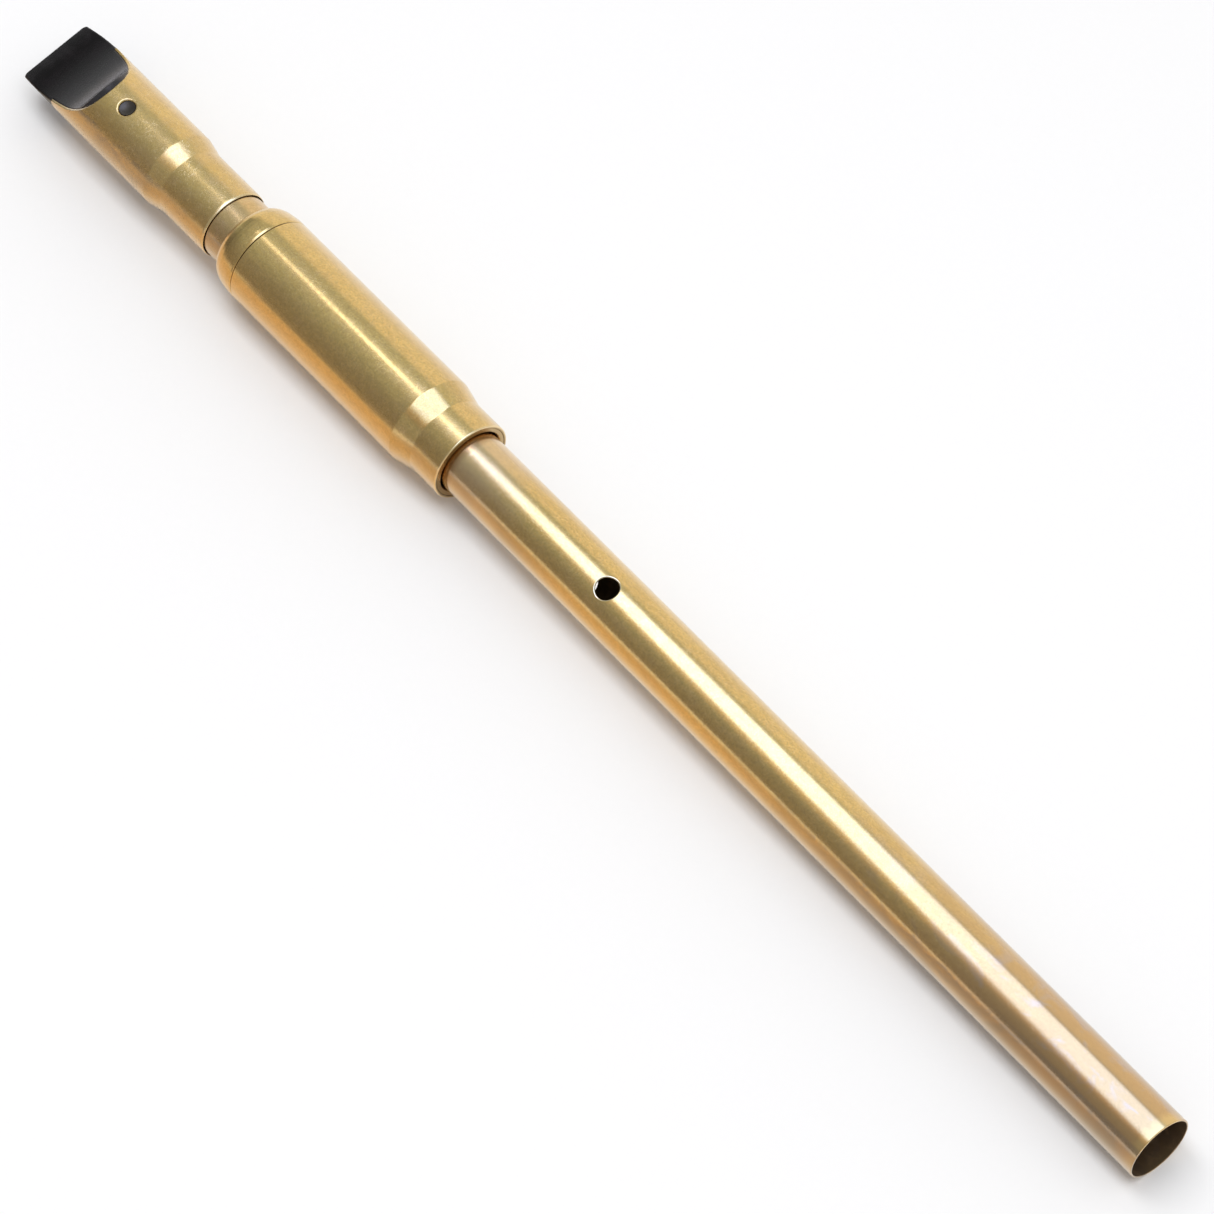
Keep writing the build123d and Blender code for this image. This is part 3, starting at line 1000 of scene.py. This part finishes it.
# Reach of the table's lit part: distance towards -X, distance to the near side
LIT_REACH = [
    (0.1740, 0.9), (0.1755, 0.105), (0.1860, 0.105), (0.1905, 0.064), (0.2350, 0.063),
    (0.2385, 0.115), (0.256, 0.115), (0.262, 0.070), (0.30, 0.070),
]


def floor_colour(net, coords):
    """Pale paper; as the metal mirrors it, it is painted warmer on the near side as bounce
    light and shade, then dim.
    """
    x, y, _ = net.xyz(coords)
    glossy = net.node("LightPath").outputs["Is Glossy Ray"]
    paper = net.noise(coords, 900, detail=3, rough=0.6)
    pale = net.mix(paper, (0.875, 0.875, 0.875), (0.89, 0.89, 0.89))
    # painted bounce light and shade: warmer and darker in the metal's reflections on the near
    # side
    near_side = net.times(net.fade(y, start=-0.110, end=-0.050),
                          net.fade(y, start=0.002, end=-0.004))
    warm = net.times(net.times(near_side, glossy),
                     net.fade(x, start=0.0, end=-0.03, low=0.8, high=1.0))
    seen = net.mix(warm, pale, net.ramp(net.times(y, -10.0), FLOOR_BOUNCE_TINT))
    # beyond the table's lit part the wide tubes mirror the dim room
    source_x = net.minus(x, net.times(y, 0.52))
    reach = net.ramp(net.times(source_x, -1.0), LIT_REACH)
    ratio = net.math("DIVIDE", net.times(y, -1.0), reach)
    dim = net.times(net.times(net.fade(ratio, start=0.98, end=1.12), glossy),
                    net.fade(y, start=0.0, end=-0.004))
    return net.mix(dim, seen, (0.30, 0.275, 0.25))


def floor_material():
    material, net = new_material("floor_pale")
    coords = net.coords()
    diffuse = net.node("BsdfDiffuse")
    net.put(diffuse.inputs["Color"], floor_colour(net, coords))
    # painted light: a glowing spot on the floor, seen only along the line of sight through the
    # first finger hole
    painted_glow = net.node("Emission")
    geometry = net.node("NewGeometry").outputs
    in_line = net.fade(net.dot(geometry["Incoming"], -SIGHT.normalized()),
                       start=0.985, end=0.995)
    distance = net.measure("DISTANCE", coords, PAINTED_GLOW_SPOT)
    spot = net.fade(distance, start=0.0036, end=0.0022, low=0.0, high=0.72)
    net.put(painted_glow.inputs["Strength"], net.times(in_line, spot))
    lit = net.node("AddShader")
    net.put(lit.inputs[0], diffuse.outputs[0])
    net.put(lit.inputs[1], painted_glow.outputs[0])
    # see-through from below
    back = net.node("NewGeometry").outputs["Backfacing"]
    net.output(net.mix_shaders(back, lit, net.node("BsdfTransparent")))
    return material


floor = stage_quad("floor", floor_centre, floor_along * FLOOR_HALF, floor_side * FLOOR_HALF)
floor.data.materials.append(floor_material())

# ------------------------------------------------------------------ softbox
# Overhead card that tapers towards the head: x, near half-width (before NEAR_STRETCH),
# far half-width
SOFTBOX = [
    (-0.02, 0.30, 0.30), (-0.17, 0.36, 0.30), (-0.215, 0.36, 0.31), (-0.26, 0.29, 0.31),
    (-0.30, 0.25, 0.26), (-0.35, 0.21, 0.22), (-0.40, 0.17, 0.17), (-0.428, 0.12, 0.12),
    (-0.442, 0.05, 0.05), (-0.47, 0.030, 0.030), (-0.53, 0.021, 0.021),
]
SOFTBOX_HEIGHT = 0.50
SOFTBOX_LEAN = math.radians(-5.0)  # towards the near side
NEAR_STRETCH = 2.4
CARD_POINTS = 9                    # points across the card

# Colour and strength along the card, by distance towards -X
CARD_COLOUR = [
    (0.0, (0.66, 0.88, 1.45)), (0.20, (0.66, 0.88, 1.43)), (0.235, (0.66, 0.81, 1.22)),
    (0.27, (0.66, 0.80, 1.25)), (0.33, (0.66, 0.80, 1.25)), (0.41, (0.66, 0.80, 1.25)),
    (0.435, (0.72, 0.78, 0.92)), (0.53, (0.78, 0.80, 0.90)),
]
CARD_STRENGTH = [
    (0.0, 2.3), (0.15, 2.25), (0.24, 2.5), (0.27, 2.9), (0.33, 3.5), (0.38, 4.4),
    (0.42, 3.7), (0.44, 2.8), (0.46, 4.0), (0.52, 4.6),
]
# Strength across the card, from its far edge (0) to its near edge (1)
CARD_FALLOFF = [
    (0.0, 0.25), (0.05, 1.0), (0.535, 1.0), (0.59, 0.44), (0.64, 0.25), (0.78, 0.18),
    (1.0, 0.125),
]


def leaning(angle):
    """Room up, tipped towards the near side."""
    return ROOM_UP * math.cos(angle) + NEAR * math.sin(angle)


def softbox_light():
    material, net, emission = shader_material("softbox_light", "Emission")
    headward = net.times(net.xyz(net.coords())[0], -1.0)
    across = net.xyz(net.coords("UV"))[0]
    colour = net.ramp(headward, CARD_COLOUR)
    warm = net.fade(across, start=0.55, end=0.62)
    net.put(emission.inputs["Color"], net.mix(warm, colour, (1.02, 0.92, 0.80)))
    strength = net.times(net.ramp(across, CARD_FALLOFF), net.ramp(headward, CARD_STRENGTH))
    net.put(emission.inputs["Strength"], strength)
    return material


def build_softbox():
    across = NEAR * math.cos(SOFTBOX_LEAN) - ROOM_UP * math.sin(SOFTBOX_LEAN)
    last = CARD_POINTS - 1
    points = []
    for x, near, far in SOFTBOX:
        for k in range(CARD_POINTS):
            offset = -far + (far + near * NEAR_STRETCH) * k / last
            points.append(Vector((x, 0, 0)) + leaning(SOFTBOX_LEAN) * SOFTBOX_HEIGHT
                          + across * offset)
    faces = []
    for i in range(len(SOFTBOX) - 1):
        for k in range(last):
            first = CARD_POINTS * i + k
            faces.append([first, first + 1, first + CARD_POINTS + 1, first + CARD_POINTS])
    card = stage_mesh("softbox", points, faces)
    uv_map = card.data.uv_layers.new(name="across")
    for loop in card.data.loops:
        uv_map.data[loop.index].uv = ((loop.vertex_index % CARD_POINTS) / last, 0.0)
    card.visible_camera = False
    card.visible_shadow = False
    card.visible_diffuse = False
    card.data.materials.append(softbox_light())


build_softbox()


# ------------------------------------------------------------------ fill
def build_fill():
    """Broad fill for the table and the plastics; it isn't mirrored in the metal."""
    direction = leaning(math.radians(4.7)).normalized()
    along = Vector((1, 0, 0))
    across = direction.cross(along).normalized()
    fill = stage_quad("fill", Vector((-0.15, 0, 0)) + direction * 1.1,
                      along * 0.8, across * 0.225)
    fill.visible_camera = False
    fill.visible_glossy = False
    fill.visible_shadow = False
    material, _, emission = shader_material("fill_light", "Emission")
    emission.inputs["Color"].default_value = rgba((0.955, 0.98, 1.015))
    emission.inputs["Strength"].default_value = 4.02
    fill.data.materials.append(material)


build_fill()

# ------------------------------------------------------------------ room
# Brightness round the whistle's axis: degrees from overhead (positive to the near side), colour
OVERHEAD = (0.96, 1.06, 1.03)
CREAM = (1, 0.98, 0.91)
ROOM_HEADWARD = [
    (-180, 0.9), (-95, 0.9), (-88, shade(0.98, CREAM)), (-46, shade(0.95, CREAM)),
    (-37, shade(0.58, OVERHEAD)), (-14, shade(0.58, OVERHEAD)), (10, shade(0.57, OVERHEAD)),
    (30, shade(0.46, OVERHEAD)), (50, shade(0.345, (1, 1.04, 1.06))),
    (68, shade(0.30, (1, 0.99, 0.98))), (90, shade(0.285, (1, 0.93, 0.86))), (96, 0.85),
    (180, 0.9),
]
ROOM_FOOTWARD = [
    (-180, 0.9), (-95, 0.9), (-88, 0.80), (-40, shade(0.66, OVERHEAD)),
    (0, shade(0.58, OVERHEAD)), (40, shade(0.46, OVERHEAD)), (88, 0.38), (96, 0.85), (180, 0.9),
]
ROOM_DIFFUSE = [
    (-180, 0.75), (-95, 0.84), (-30, 0.80), (20, shade(0.64, (1.05, 1, 0.97))),
    (90, shade(0.42, (1.12, 1, 0.94))), (180, 0.5),
]
# Dimming along the axis: share of the direction towards -X, factor
ROOM_DIMMING = [
    (0.0, 1.0), (0.66, 1.0), (0.74, 0.80), (0.80, 0.68), (0.845, 0.50), (0.88, 0.50),
    (0.925, 0.85), (0.97, 1.0), (1.0, 1.0),
]


def turn_share(degrees):
    """An angle of -180 to 180 degrees as 0 to 1."""
    return degrees / 360.0 + 0.5


def build_world():
    """Bright behind, dim on the near side; the camera sees an even pale grey."""
    world = bpy.data.worlds.new("room")
    bpy.context.scene.world = world
    world.use_nodes = True
    world.cycles.sampling_method = "NONE"
    net = Net(world.node_tree)
    direction = net.coords("Generated")
    light_path = net.node("LightPath").outputs
    angle = net.math("ARCTAN2", net.dot(direction, NEAR), net.dot(direction, ROOM_UP))
    turn = net.plus(net.math("DIVIDE", angle, 2 * math.pi), 0.5)
    headward, footward, diffuse = (
        net.ramp(turn, [(turn_share(degrees), colour) for degrees, colour in stops])
        for stops in (ROOM_HEADWARD, ROOM_FOOTWARD, ROOM_DIFFUSE))
    along = net.dot(direction, (1.0, 0.0, 0.0))
    light = net.mix(net.fade(along, start=-0.36, end=-0.14), headward, footward)
    dimming = net.ramp(net.times(along, -1.0), ROOM_DIMMING)
    far_side = net.fade(turn, start=turn_share(-34), end=turn_share(-62))
    light = net.mix(far_side, net.mix(1.0, light, dimming, blend="MULTIPLY"), light)
    light = net.mix(light_path["Is Diffuse Ray"], light, diffuse)
    room = net.node("Background")
    net.put(room.inputs[0], light)
    backdrop = net.node("Background")
    backdrop.inputs[0].default_value = rgba(0.95)
    net.output(net.mix_shaders(light_path["Is Camera Ray"], room, backdrop), "World")


build_world()


# ------------------------------------------------------------------ camera
def build_camera():
    lens = bpy.data.cameras.new("camera")
    lens.lens = 171.732
    lens.sensor_width = 36.0
    lens.clip_start = 0.05
    lens.clip_end = 20.0
    camera = bpy.data.objects.new("camera", lens)
    bpy.context.scene.collection.objects.link(camera)
    right = Vector((0.6359180882460369, 0.7527402508461886, -0.17026538050209425))
    up = Vector((-0.6346884198461626, 0.635604237255432, 0.43952003742278))
    back = Vector((0.439065820526589, -0.171433276638341, 0.8819477518007262))
    pose = Matrix((right, up, back)).transposed().to_4x4()
    pose.translation = Vector((0.30031947377041024, -0.17302343218490496, 0.884364806510198))
    camera.matrix_world = pose
    bpy.context.scene.camera = camera
    bpy.context.scene.view_settings.view_transform = "Standard"


build_camera()
